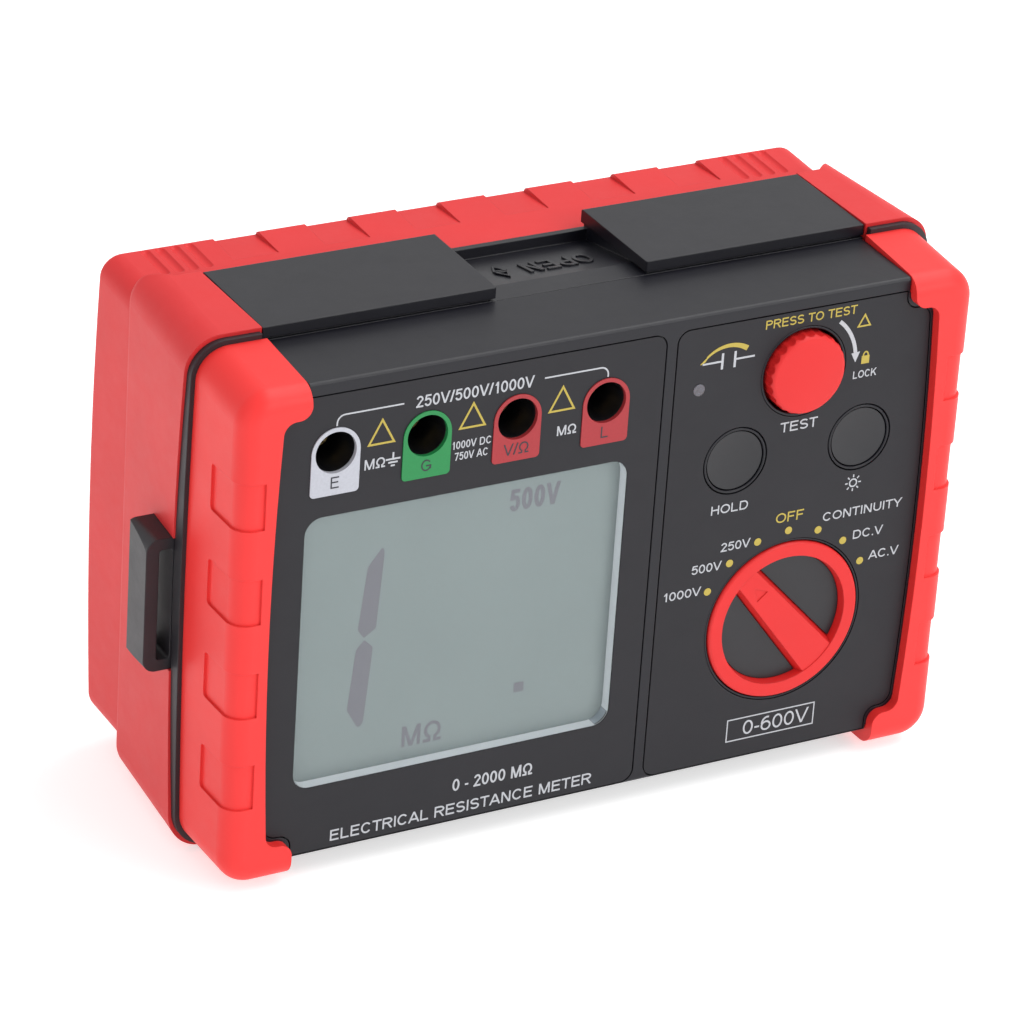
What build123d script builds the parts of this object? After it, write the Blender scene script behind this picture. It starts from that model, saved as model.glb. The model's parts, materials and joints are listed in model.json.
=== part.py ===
from build123d import *
import math
import os

# Hand-held insulation resistance tester that stands upright on its base.
# Frame: millimetres, +X to the right seen from the front, +Z up, the front panel faces -Y.
# Origin: middle of the bounding box in X and Y, at the level the tester stands on.
# "depth" is the distance behind the plane of the two front labels.
# Heights are measured from the underside of the front bumpers; save() then lifts every part
# by STAND_HEIGHT, because the rear shell's rim and the feet reach a little lower.

# ---- driving dimensions ------------------------------------------------------------------
LABEL_PLANE_Y = -38.2        # Y of the label faces, where depth is 0
STAND_HEIGHT = 2.0
BUMPER_HALF_WIDTH = 93.8
BUMPER_TOP = (121.8, 124.9)  # height of the bumpers' top, which rises towards the rear
BUMPER_DEPTHS = (-2.6, 30.0)  # depths at which BUMPER_TOP is given; the first is the face
BUMPER_CORNER_R = 7.5
BUMPER_EDGE_R = 4.6
CASE_BOTTOM = 3.5
CASE_TOP = (121.85, 122.9)   # height of the black top at the front and at depth 30
SHELL_STEP = 60.0            # depth where the rear shell steps in
SHELL_FRONT = ((20.0, 95.9, -2.0, 126.1, 8.5), (SHELL_STEP, 92.1, -1.4, 126.4, 7.5))
SHELL_REAR = ((40.0, 92.2, 4.6, 120.65, 6.5), (85.0, 91.3, 6.0, 123.15, 4.8))
SHELL_NOTCH_Z = 121.3        # height of the shell's top behind the lid
SHELL_TOP = 126.4            # raised front part of the rear shell, flush with the lid pads
BACK_DEPTH = 79.0
BACK_BOW = 3.5
SEAM_MID_Z = 62.0
SEAM_HALF_Z = 70.0
FRONT_SEAM = (19.9, 22.3)    # depth of the front half's edge at the ends and at mid height
REAR_SEAM = (20.9, 25.9)     # depth of the rear shell's edge at the ends and at mid height
WALL = 2.5

OPENING_END_X = 77.0         # half width of the panel between the bumpers' corner tabs
OPENING_SIDE_X = (83.6, 85.2)  # half width of the panel at its ends and at mid height
OPENING_LOW_Z = 9.0
OPENING_HIGH_Z = 114.8
TAB_CURVE_R = 3.1

LABEL_THICK = 0.8
LABEL_GAP = 0.35
LABEL_LOW_Z = 4.3
LABEL_HIGH_Z = 118.4
DISPLAY_LABEL_RIGHT = 12.5
CONTROL_LABEL_LEFT = 15.7
LABEL_CORNER_R = 3.0

WINDOW_X = (-76.3, 4.9)
WINDOW_Z = (20.9, 89.0)
WINDOW_R = 4.2
WINDOW_THICK = 3.1
DISPLAY_DEPTH = 3.2

SOCKET_Z = 104.4
SOCKET_X = {"earth": -69.65, "guard": -47.15, "volt": -24.65, "line": -2.15}
SOCKET_HOLE_R = 5.0
SOCKET_TAG_HALF = 6.0
SOCKET_TAG_LOW_Z = 94.1
SOCKET_LENGTH = 25.0
CONTACT_START = 9.0
CONTACT_LENGTH = 16.0
CONTACT_HOLE_R = 2.05
CONTACT_R = 2.8

BUTTON_Z = 83.2
HOLD_X = 33.4
LIGHT_X = 66.7
BUTTON_R = 7.3
BUTTON_RING_R = 8.2
BUTTON_HOLE_R = 8.5
BUTTON_TRAVEL = 1.2

KNOB_X = 49.7
KNOB_Z = 103.0
KNOB_R = 9.9
KNOB_HOLE_R = 10.55
KNOB_COLLAR_R = 11.25
KNOB_FRONT = -3.0
KNOB_FLUTES = 24
TEST_TRAVEL = 3.0

DIAL_X = 50.3
DIAL_Z = 38.9
DIAL_R = 20.1
DIAL_FRONT = -0.5
DIAL_RING_INNER_R = 16.6
DIAL_BAR_WIDTH = (5.4, 9.0)   # at its pointer end and at the other end
DIAL_FLOOR = 2.3
DIAL_SEAT_R = (20.35, 20.95)  # ring round the dial, inside and outside
DETENT_STEP = 20.3           # degrees between dial positions
REST_STEP = 2                # the dial rests two steps left of the off position

LED_X = 22.0
LED_Z = 103.1
LED_R = 1.45

LUG_Z = 59.3
LUG_HALF_HEIGHT = 16.6
LUG_OUTER_X = (101.5, 99.9)  # at its front and at its rear
LUG_DEPTH = (26.4, 38.4)
LUG_ROOT_X = 91.4
LUG_SLOT_X = (95.0, 98.3)
LUG_SLOT_HALF_HEIGHT = 13.8

LID_HALF_X = 77.3
LID_DEPTH = (22.1, 52.2)
LID_PLATE_LOW_Z = 117.8
LID_FRONT_LOW_Z = 120.8      # the lid's front edge is thinner, so that it swings clear
PAD_FRONT_Z = 125.8
PAD_UNDERSIDE_Z = 123.2
SCOOP_HALF_X = (19.3, 20.2)  # between the pads, and under them
SCOOP_LIP = (29.2, 122.6)    # depth and height where the front lip ends
SCOOP_LOW = (50.6, 119.2)    # depth and height at the foot of the rear wall
SCOOP_WALL_TOP = 121.9
LID_HINGE_DEPTH = 50.0
LID_HINGE_Z = 123.5
LID_PIN_R = 1.25

CELL_R = 7.25
CELL_LENGTH = 50.0
CELL_PITCH = 18.0
CELL_LOW_Z = 61.0
CELL_DEPTH = 39.0
CELLS = 6


# ---- helpers -----------------------------------------------------------------------------
def y_at(depth):
    return LABEL_PLANE_Y + depth


def front_plane(depth):
    return Plane(origin=(0, y_at(depth), 0), x_dir=(1, 0, 0), z_dir=(0, -1, 0))


def slab(sketch, near, far):
    """A sketch in X and Z, given thickness from depth near to depth far."""
    return extrude(front_plane(far) * sketch, far - near)


def block(x_low, x_high, near, far, z_low, z_high):
    centre = ((x_low + x_high) / 2, y_at((near + far) / 2), (z_low + z_high) / 2)
    return Pos(*centre) * Box(x_high - x_low, far - near, z_high - z_low)


def disc(x, z, radius, near, far):
    return slab(Pos(x, z) * Circle(radius), near, far)


def tube(x, z, outer, inner, near, far):
    return disc(x, z, outer, near, far) - disc(x, z, inner, near, far)


def rounded(x_low, x_high, z_low, z_high, radius):
    centre = Pos((x_low + x_high) / 2, (z_low + z_high) / 2)
    return centre * RectangleRounded(x_high - x_low, z_high - z_low, radius)


def ring_at(depth, half_width, low, high, radius):
    return front_plane(depth) * rounded(-half_width, half_width, low, high, radius)


def drafted(first, second):
    """A solid whose rounded outline changes evenly from one depth to another."""
    return loft([ring_at(*first), ring_at(*second)])


def side_profile(points_and_arcs, half_length):
    """A closed outline in Y and Z, extruded both ways along X."""
    face = make_face(points_and_arcs)
    return extrude(Plane.YZ * face, half_length, both=True)


def seam_zone(seam, front_side):
    """Everything in front of, or behind, a bowed seam surface."""
    low = SEAM_MID_Z - SEAM_HALF_Z
    high = SEAM_MID_Z + SEAM_HALF_Z
    end_y = y_at(seam[0])
    mid_y = y_at(seam[1])
    far_y = y_at(-40) if front_side else y_at(140)
    arc = ThreePointArc((end_y, low), (mid_y, SEAM_MID_Z), (end_y, high))
    rest = Polyline((end_y, high), (end_y, high + 30), (far_y, high + 30), (far_y, low - 30),
                    (end_y, low - 30), (end_y, low))
    return side_profile(arc + rest, 150)


def panel_opening(inset):
    """Outline of the panel between the bumpers: S-curves at the corner tabs, bowed sides."""
    end_x = OPENING_END_X - inset
    side_x = OPENING_SIDE_X[0] - inset
    mid_x = OPENING_SIDE_X[1] - inset
    low = OPENING_LOW_Z + inset
    high = OPENING_HIGH_Z - inset
    mid_z = (low + high) / 2
    shape = None
    for sign in (1, -1):
        path = Polyline((0, -20), (sign * end_x, -20), (sign * end_x, low), (sign * side_x, low))
        arc = ThreePointArc((sign * side_x, low), (sign * mid_x, mid_z), (sign * side_x, high))
        back = Polyline((sign * side_x, high), (sign * end_x, high), (sign * end_x, 150), (0, 150),
                        (0, -20))
        half = make_face(path + arc + back)
        corners = [v for v in half.vertices()
                   if abs(v.Y - low) < 0.01 or abs(v.Y - high) < 0.01]
        half = fillet(corners, TAB_CURVE_R)
        shape = half if shape is None else shape + half
    return shape


def keep_side(solid, sign):
    return solid & block(min(0, sign * 150), max(0, sign * 150), -30, 150, -30, 180)


def save(name, shape):
    export_step(shape.moved(Location((0, 0, STAND_HEIGHT))), f"parts/{name}.step")


# ---- housing -----------------------------------------------------------------------------
def bumper_body(inset):
    rings = []
    for depth, top in zip(BUMPER_DEPTHS, BUMPER_TOP):
        rings.append((depth, BUMPER_HALF_WIDTH - inset, inset, top - inset,
                      BUMPER_CORNER_R - inset))
    body = drafted(*rings)
    body -= block(-150, 150, -10, BUMPER_DEPTHS[0] + inset, -20, 150)
    rim = body.faces().sort_by(Axis.Y)[0].edges()
    return fillet(rim, BUMPER_EDGE_R - inset)


def pocket_cuts():
    """Four shallow finger pockets on each side, wrapping on to the front."""
    cuts = None
    for index in range(4):
        centre_z = 95.5 - 23.2 * index
        for sign in (1, -1):
            x_low = 87.4 if sign > 0 else -100
            x_high = 100 if sign > 0 else -87.4
            pocket = block(x_low, x_high, -8, 11.3, centre_z - 5.6, centre_z + 5.6)
            pocket = fillet(pocket.edges().filter_by(Axis.X), 1.0)
            cuts = pocket if cuts is None else cuts + pocket
    return cuts - bumper_body(0.55)


def case_top_at(depth):
    return CASE_TOP[0] + (CASE_TOP[1] - CASE_TOP[0]) * depth / 30


def case_envelope():
    core = slab(rounded(-88.5, 88.5, 5.0, 118.0, 9.0), 0, 30)
    outline = Polyline((y_at(0), CASE_BOTTOM), (y_at(30), CASE_BOTTOM), (y_at(30), CASE_TOP[1]),
                       (y_at(0), CASE_TOP[0]), (y_at(0), CASE_BOTTOM))
    visible = side_profile(outline, OPENING_END_X - 0.3)
    front_edges = visible.edges().filter_by(Axis.X).sort_by(Axis.Y)[0:2]
    visible = fillet(front_edges, 0.9)
    return (core + visible) & seam_zone(FRONT_SEAM, True)


def label_shapes():
    field = panel_opening(0.9)
    display = field & (rounded(-90, DISPLAY_LABEL_RIGHT, LABEL_LOW_Z, LABEL_HIGH_Z, LABEL_CORNER_R))
    control = field & (rounded(CONTROL_LABEL_LEFT, 90, LABEL_LOW_Z, LABEL_HIGH_Z, LABEL_CORNER_R))
    return display, control


def socket_tag_sketch(x, grow):
    half = SOCKET_TAG_HALF + grow
    low = SOCKET_TAG_LOW_Z - grow
    body = Pos(x, (low + SOCKET_Z) / 2) * Rectangle(2 * half, SOCKET_Z - low)
    body = fillet(body.vertices().group_by(Axis.Y)[0], 1.0)
    return body + Pos(x, SOCKET_Z) * Circle(half)


def make_front_case(display, control):
    case = case_envelope()
    hollow = slab(rounded(-86, 86, 7.0, 116.0, 7.0), WALL + 0.8, 40)
    case -= hollow
    tongue_end = LID_DEPTH[0] - 0.25             # the top runs on under the seam to the lid
    outline = Polyline((y_at(15), 120.6), (y_at(tongue_end), 120.6),
                       (y_at(tongue_end), case_top_at(tongue_end)), (y_at(15), case_top_at(15)),
                       (y_at(15), 120.6))
    case += side_profile(outline, 76.6)
    for label in (display, control):
        case -= slab(offset(label, LABEL_GAP), -1, LABEL_THICK)
    case -= slab(window_sketch(0.8), -1, 10)
    for x in SOCKET_X.values():
        case -= disc(x, SOCKET_Z, 6.6, -1, 10)
    for x in (HOLD_X, LIGHT_X):
        case -= disc(x, BUTTON_Z, BUTTON_HOLE_R, -1, 10)
    case -= disc(KNOB_X, KNOB_Z, KNOB_COLLAR_R + 0.15, -1, 10)
    case -= disc(DIAL_X, DIAL_Z, DIAL_SEAT_R[1] + 0.25, -1, 10)
    case -= disc(LED_X, LED_Z, LED_R + 0.05, -1, 10)
    for x, z in screw_places():
        boss = tube(x, z, 4.0, 1.3, 3.0, 21.5)
        case += boss
    return case


def screw_places():
    return [(sx * 80, z) for sx in (-1, 1) for z in (14.5, 110.0)]


def make_bumpers():
    body = bumper_body(0) & seam_zone(FRONT_SEAM, True)
    body -= block(-OPENING_END_X, OPENING_END_X, -10, 60, -10, 140)
    body -= slab(panel_opening(0), -10, 0)
    body -= pocket_cuts()
    body -= case_envelope()
    return keep_side(body, -1), keep_side(body, 1)


def make_middle_frame():
    ring = slab(rounded(-94.9, 94.9, -1.0, 125.2, 8.0), 15, 40)
    ring = ring & seam_zone((FRONT_SEAM[0] + 0.02, FRONT_SEAM[1] + 0.02), False)
    ring = ring & seam_zone((REAR_SEAM[0] - 0.02, REAR_SEAM[1] - 0.02), True)
    ring -= slab(rounded(-83.5, 83.5, 10.0, 113.5, 5.0), 0, 60)
    tongue = slab(rounded(-85.8, 85.8, 7.2, 115.8, 6.8), 15.0, 21.5)
    tongue -= slab(rounded(-83.5, 83.5, 10.0, 113.5, 5.0), 0, 60)
    ring += tongue
    for x, z in screw_places():
        ring -= disc(x, z, 4.4, 0, 60)
    for sign in (1, -1):
        bridge = block(min(sign * 88.0, sign * LUG_ROOT_X), max(sign * 88.0, sign * LUG_ROOT_X),
                       24.0, 30.0, LUG_Z - 14, LUG_Z + 14)
        ring += bridge
    ring -= block(-78.2, 78.2, 10, 40, 116.9, 130)       # room for the case's top and the lid
    return ring


def make_lug(sign):
    """A strap loop, thinner towards the rear, with its foot let into the rear shell's side."""
    near, far = LUG_DEPTH
    outer_near, outer_far = LUG_OUTER_X
    middle = Pos((LUG_ROOT_X + outer_near) / 2, LUG_Z)
    face = middle * Rectangle(outer_near - LUG_ROOT_X, 2 * LUG_HALF_HEIGHT)
    face = fillet(face.vertices().group_by(Axis.X)[-1], 3.2)
    plan = Polyline((LUG_ROOT_X, y_at(near)), (outer_near, y_at(near)), (outer_far, y_at(far)),
                    (LUG_ROOT_X, y_at(far)), (LUG_ROOT_X, y_at(near)))
    loop = slab(face, near, far) & extrude(make_face(plan), 120)
    slot = rounded(*LUG_SLOT_X, LUG_Z - LUG_SLOT_HALF_HEIGHT, LUG_Z + LUG_SLOT_HALF_HEIGHT, 0.8)
    loop -= slab(slot, near - 5, far + 5)
    return loop if sign > 0 else mirror(loop, Plane.YZ)


def shell_outer():
    front = drafted(*SHELL_FRONT)
    front = fillet(front.faces().sort_by(Axis.Y)[-1].edges(), 3.0)
    rear = drafted(*SHELL_REAR)
    end_y = y_at(BACK_DEPTH - BACK_BOW)
    bow = ThreePointArc((end_y, 0), (y_at(BACK_DEPTH), 64), (end_y, 128))
    rest = Polyline((end_y, 128), (y_at(30), 128), (y_at(30), 0), (end_y, 0))
    rear = rear & side_profile(bow + rest, 150)
    rear = fillet(rear.faces().sort_by(Axis.Y)[-1].edges(), 1.6)
    behind_lid = y_at(LID_DEPTH[1] + 0.4)
    step = y_at(SHELL_STEP + 0.1)
    notch = Polyline((-150, step), (-92, step), (-84, behind_lid), (84, behind_lid), (92, step),
                     (150, step), (150, y_at(80)), (-150, y_at(80)), (-150, step))
    front -= extrude(Plane.XY.offset(SHELL_NOTCH_Z) * make_face(notch), 20)
    return front + rear


def rear_rests():
    """Shallow rests along the rear top edge, which deepen towards the back."""
    outline = Polyline((y_at(64.2), 121.8), (y_at(90), 120.9), (y_at(90), 130), (y_at(64.2), 130),
                       (y_at(64.2), 121.8))
    rest = side_profile(outline, 5.7)
    return Compound(children=[Pos(-58.0 + 23.3 * index, 0, 0) * rest for index in range(6)])


def grip_groove(x):
    """One soft groove that follows the slope of the shell's rear top."""
    near, far = SHELL_REAR
    slope = math.atan2(far[3] - near[3], far[0] - near[0])
    radius = 1.5
    length = 10.0
    depth = 68.5
    top = near[3] + (depth - near[0]) * math.tan(slope)
    ends = [Pos(0, 0, side * length / 2) * Sphere(radius) for side in (1, -1)]
    groove = Cylinder(radius, length) + ends[0] + ends[1]
    return Pos(x, y_at(depth), top + radius - 0.6) * Rot(90 + math.degrees(slope), 0, 0) * groove


def make_back_shell():
    outer = shell_outer()
    shell = outer & seam_zone(REAR_SEAM, False)
    shell -= slab(rounded(-89.6, 89.6, 3.0, 117.5, 7.0), 0, 56.0)
    shell -= slab(rounded(-87.5, 87.5, 9.5, 117.5, 6.0), 50, 73.0)
    lid_x = LID_HALF_X + 0.35
    shell -= block(-lid_x, lid_x, 0, LID_DEPTH[1] + 0.4, 117.0, 140)
    shell -= rear_rests()
    for sign in (1, -1):
        for index in range(4):
            shell -= grip_groove(sign * (70.3 + 3.6 * index))
    for sign in (1, -1):                         # seat of each strap lug's foot
        x_low = min(sign * (LUG_ROOT_X - 0.1), sign * 97)
        x_high = max(sign * (LUG_ROOT_X - 0.1), sign * 97)
        shell -= block(x_low, x_high, 20, LUG_DEPTH[1] + 0.05, LUG_Z - LUG_HALF_HEIGHT - 0.05,
                       LUG_Z + LUG_HALF_HEIGHT + 0.05)
        shell -= block(min(sign * 87, sign * 96), max(sign * 87, sign * 96), 20, 30.05,
                       LUG_Z - 14.05, LUG_Z + 14.05)
    for x, z in screw_places():
        shell += disc(x, z, 4.0, 24.0, 77.0) & outer
        shell -= disc(x, z, 1.6, 0, 90)
        shell -= disc(x, z, 3.1, 70, 90)
    shell -= slab(rounded(-45, 45, 40, 88, 3.0), BACK_DEPTH - 1.0, 90)   # rear plate seat
    for x in (-62, 62):
        shell -= Pos(x, y_at(46), -0.7) * Cylinder(6.05, 2.6)            # rear feet seats
    for sign in (1, -1):                         # holes for the lid's hinge pins
        start = LID_HALF_X - 2
        pin = Plane(origin=(sign * start, y_at(LID_HINGE_DEPTH), LID_HINGE_Z),
                    z_dir=(sign, 0, 0))
        shell -= extrude(pin * Circle(LID_PIN_R), 8.5)
    return shell


def make_battery_lid():
    near, far = LID_DEPTH
    y0, y1 = y_at(near), y_at(far)
    side = Polyline((y0, LID_FRONT_LOW_Z), (y0, PAD_FRONT_Z), (y1, SHELL_TOP),
                    (y1, LID_PLATE_LOW_Z), (y0 + 1.4, LID_PLATE_LOW_Z), (y0, LID_FRONT_LOW_Z))
    lid = side_profile(side, LID_HALF_X)
    lid += block(-22.5, 22.5, near + 2.8, far - 0.2, 115.6, 119)
    scoop = Polyline((y0 - 2, 140), (y0 - 2, SCOOP_LIP[1]), (y_at(SCOOP_LIP[0]), SCOOP_LIP[1]),
                     (y_at(SCOOP_LOW[0]), SCOOP_LOW[1]), (y_at(SCOOP_LOW[0]), SCOOP_WALL_TOP),
                     (y1 + 2, SCOOP_WALL_TOP), (y1 + 2, 140), (y0 - 2, 140))
    scoop = side_profile(scoop, SCOOP_HALF_X[1])
    for sign in (1, -1):                         # the pads overhang the scoop a little
        x_low = min(sign * SCOOP_HALF_X[0], sign * 30)
        x_high = max(sign * SCOOP_HALF_X[0], sign * 30)
        scoop -= block(x_low, x_high, 0, 90, PAD_UNDERSIDE_Z, 150)
    lid -= scoop
    lid -= block(-90, 90, near - 1, near + 0.9, SCOOP_LIP[1], PAD_UNDERSIDE_Z)
    for sign in (1, -1):                         # the raised pads are hollow underneath
        x_low = min(sign * 23.5, sign * 73.5)
        x_high = max(sign * 23.5, sign * 73.5)
        lid -= block(x_low, x_high, near + 3.8, far - 6, 110, PAD_FRONT_Z - 1.9)
    corners = [e for e in lid.edges().filter_by(Axis.Z)
               if abs(abs(e.center().X) - SCOOP_HALF_X[0]) < 0.01 and abs(e.center().Y - y0) < 0.01]
    lid = chamfer(corners, 0.25)
    top_rear = [e for e in lid.edges().filter_by(Axis.X)
                if e.center().Z > SHELL_TOP - 0.1 and e.center().Y > y1 - 0.1]
    lid = fillet(top_rear, 0.5)
    for sign in (1, -1):
        start = LID_HALF_X + 0.5
        pin = Plane(origin=(sign * start, y_at(LID_HINGE_DEPTH), LID_HINGE_Z),
                    z_dir=(-sign, 0, 0))
        lid -= extrude(pin * Circle(LID_PIN_R + 0.05), 5.5)
    for x in (-48, 48):                          # snap hooks under the front edge
        lid += block(x - 5, x + 5, near + 3.1, near + 4.9, 112.5, LID_PLATE_LOW_Z + 1)
    return lid


def make_lid_pins():
    pins = []
    for sign in (1, -1):
        pin = Plane(origin=(sign * (LID_HALF_X - 4.5), y_at(LID_HINGE_DEPTH), LID_HINGE_Z),
                    z_dir=(sign, 0, 0))
        pins.append(extrude(pin * Circle(LID_PIN_R), 10.8))
    return pins


# ---- display -----------------------------------------------------------------------------
def window_sketch(grow):
    return rounded(WINDOW_X[0] - grow, WINDOW_X[1] + grow, WINDOW_Z[0] - grow,
                   WINDOW_Z[1] + grow, WINDOW_R + grow)


def make_display_parts():
    window = slab(window_sketch(-0.05), 0.0, WINDOW_THICK)
    window = fillet(window.faces().sort_by(Axis.Y)[0].edges(), 0.3)
    opening = window_sketch(0.02)
    bezel = slab(window_sketch(0.75), LABEL_THICK + 0.02, 5.2)
    bezel += slab(rounded(WINDOW_X[0] - 4.0, WINDOW_X[1] + 4.0, 18.8, 92.0, 2.0), 3.35, 8.2)
    bezel -= slab(opening, 0, 5.22)
    bezel -= slab(rounded(WINDOW_X[0] - 1.0, WINDOW_X[1] + 1.0, 19.9, 90.0, 1.0), 5.2, 9.0)
    glass = slab(window_sketch(-0.03), DISPLAY_DEPTH, 5.15)
    backlight = slab(rounded(WINDOW_X[0] - 0.9, WINDOW_X[1] + 0.9, 20.0, 89.9, 1.0), 5.22, 10.4)
    strips = [block(WINDOW_X[0] + 3.5, WINDOW_X[1] - 3.7, 10.42, 15.98, z, z + 2.5)
              for z in (20.5, 86.5)]
    return window, bezel, glass, backlight, Compound(children=strips)


# ---- sockets -----------------------------------------------------------------------------
def make_socket_tag(x):
    tag = slab(socket_tag_sketch(x, -0.04), -0.25, LABEL_THICK)
    return tag - disc(x, SOCKET_Z, SOCKET_HOLE_R, -2, 5)


def make_socket_sleeve(x):
    sleeve = tube(x, SOCKET_Z, 5.9, SOCKET_HOLE_R, LABEL_THICK + 0.02, SOCKET_LENGTH)
    flange = tube(x, SOCKET_Z, 6.55, SOCKET_HOLE_R, LABEL_THICK + 0.02, 3.3)
    base = tube(x, SOCKET_Z, 5.9, CONTACT_R, SOCKET_LENGTH - 2.5, SOCKET_LENGTH)
    return sleeve + flange + base


def make_socket_contact(x):
    end = CONTACT_START + CONTACT_LENGTH
    barrel = disc(x, SOCKET_Z, CONTACT_R, CONTACT_START, end)
    barrel -= disc(x, SOCKET_Z, CONTACT_HOLE_R, CONTACT_START - 1, end - 2)
    return barrel + disc(x, SOCKET_Z, 0.9, end - 0.1, end + 3)


# ---- buttons -----------------------------------------------------------------------------
def make_button(x):
    cap = disc(x, BUTTON_Z, BUTTON_R, 0.0, 3.4)
    cap = fillet(cap.edges().sort_by(Axis.Y)[0], 0.5)
    dish_r = 60.0
    dish = Pos(x, y_at(0.75) - dish_r, BUTTON_Z) * Sphere(dish_r)
    cap -= dish
    flange = disc(x, BUTTON_Z, BUTTON_R + 0.5, 3.35, 4.4)
    stem = disc(x, BUTTON_Z, 2.0, 4.3, 11.0)
    return cap + flange + stem


def make_button_ring(x):
    ring = tube(x, BUTTON_Z, BUTTON_RING_R, BUTTON_R + 0.25, 0.0, 3.0)
    ring = fillet(ring.faces().sort_by(Axis.Y)[0].edges(), 0.25)
    return ring + tube(x, BUTTON_Z, BUTTON_HOLE_R - 0.02, BUTTON_R + 0.25, 1.6, 3.0)


def make_tact_switch(x):
    body = block(x - 3, x + 3, 13.0, 16.0, BUTTON_Z - 3, BUTTON_Z + 3)
    return body + disc(x, BUTTON_Z, 1.7, 12.4, 13.1)


# ---- press-to-test knob ------------------------------------------------------------------
def make_test_knob():
    knob = disc(KNOB_X, KNOB_Z, KNOB_R, KNOB_FRONT, 7.0)
    knob = knob & (Pos(KNOB_X, y_at(KNOB_FRONT) + 90.0, KNOB_Z) * Sphere(90.0))
    knob = fillet(knob.edges().sort_by(Axis.Y)[0], 1.2)
    for index in range(KNOB_FLUTES):
        angle = 2 * math.pi * index / KNOB_FLUTES
        x = KNOB_X + (KNOB_R + 1.75) * math.cos(angle)
        z = KNOB_Z + (KNOB_R + 1.75) * math.sin(angle)
        knob -= disc(x, z, 2.1, KNOB_FRONT - 1, 5.0)
    knob -= disc(KNOB_X, KNOB_Z, 2.54, 1.0, 9.0)
    return knob


def make_test_plunger():
    stem = disc(KNOB_X, KNOB_Z, 2.5, 1.05, 20.5)
    collar = disc(KNOB_X, KNOB_Z, 4.4, 13.3, 14.6)
    return stem + collar


def make_test_collar():
    collar = tube(KNOB_X, KNOB_Z, KNOB_COLLAR_R, KNOB_HOLE_R, 0.0, 11.8)
    collar = fillet(collar.edges().filter_by(GeomType.CIRCLE).sort_by(Axis.Y)[0:2], 0.25)
    floor = tube(KNOB_X, KNOB_Z, KNOB_COLLAR_R, 2.56, 11.5, 13.0)
    return collar + floor


def make_test_spring():
    spring = tube(KNOB_X, KNOB_Z, 4.2, 3.2, 14.65, 21.0)
    for index in range(4):
        spring -= tube(KNOB_X, KNOB_Z, 5.0, 3.55, 15.2 + 1.45 * index, 15.9 + 1.45 * index)
    return spring


def make_test_switch():
    body = block(KNOB_X - 6.5, KNOB_X + 6.5, 21.05, 30.0, KNOB_Z - 6.5, KNOB_Z + 6.5)
    return body - disc(KNOB_X, KNOB_Z, 2.7, 20, 26.0)


# ---- rotary dial -------------------------------------------------------------------------
def dial_place():
    return Pos(DIAL_X, DIAL_Z) * Rot(0, 0, DETENT_STEP * REST_STEP)


def dial_hollows(inset, bar_extra):
    """The two hollows either side of the dial's tapering bar; its pointer is the narrow end."""
    reach = 25.0
    pointer, tail = DIAL_BAR_WIDTH
    middle = (pointer + tail) / 4 + bar_extra
    flare = (tail - pointer) / 4 * reach / DIAL_RING_INNER_R
    bar = Polyline((flare - middle, reach), (middle - flare, reach), (middle + flare, -reach),
                   (-middle - flare, -reach), (flare - middle, reach))
    hollows = dial_place() * (Circle(DIAL_RING_INNER_R - inset) - make_face(bar))
    return hollows.faces().sort_by(Axis.X)


def make_rotary_dial():
    dial = disc(DIAL_X, DIAL_Z, DIAL_R, DIAL_FRONT, 8.0)
    dial = fillet(dial.edges().sort_by(Axis.Y)[0], 0.7)
    dial -= disc(DIAL_X, DIAL_Z, DIAL_RING_INNER_R, DIAL_FRONT - 1, DIAL_FRONT + 0.2)
    for rim, floor in zip(dial_hollows(0.0, 0.0), dial_hollows(0.5, 1.2)):
        dial -= loft([front_plane(DIAL_FLOOR) * floor, front_plane(DIAL_FRONT) * rim])
    mark = make_face(Polyline((-1.7, 9.5), (1.7, 9.5), (0, 12.9), (-1.7, 9.5)))
    dial -= slab(dial_place() * mark, DIAL_FRONT - 1, DIAL_FRONT + 0.45)
    dial -= disc(DIAL_X, DIAL_Z, 3.04, 5.0, 9.0)
    return dial


def make_dial_inserts():
    """Dark filler plates that line the dial's two hollows."""
    near = DIAL_FLOOR - 0.8
    return [slab(hollow, near, DIAL_FLOOR) for hollow in dial_hollows(0.52, 1.24)]


def make_dial_shaft():
    shaft = disc(DIAL_X, DIAL_Z, 3.0, 5.05, 28.0)
    rotor = disc(DIAL_X, DIAL_Z, 11.0, 24.2, 25.8)
    for index in range(18):
        angle = 2 * math.pi * index / 18
        x = DIAL_X + 11.6 * math.cos(angle)
        z = DIAL_Z + 11.6 * math.sin(angle)
        rotor -= disc(x, z, 1.3, 23, 27)
    return shaft + rotor


def make_dial_seat():
    wall = tube(DIAL_X, DIAL_Z, DIAL_SEAT_R[1], DIAL_SEAT_R[0], 0.1, 9.8)
    wall = fillet(wall.faces().sort_by(Axis.Y)[0].edges(), 0.2)
    flange = tube(DIAL_X, DIAL_Z, DIAL_SEAT_R[1] + 0.2, DIAL_SEAT_R[0], 1.8, 9.8)
    floor = tube(DIAL_X, DIAL_Z, DIAL_SEAT_R[1], 3.05, 8.3, 10.0)
    return wall + flange + floor


def make_switch_base():
    body = block(DIAL_X - 16, DIAL_X + 16, 17.65, 31.0, DIAL_Z - 16, DIAL_Z + 16)
    body = fillet(body.edges().filter_by(Axis.Y), 4.0)
    body -= disc(DIAL_X, DIAL_Z, 13.3, 21.5, 28.6)
    return body - disc(DIAL_X, DIAL_Z, 3.05, 0, 60)


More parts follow.
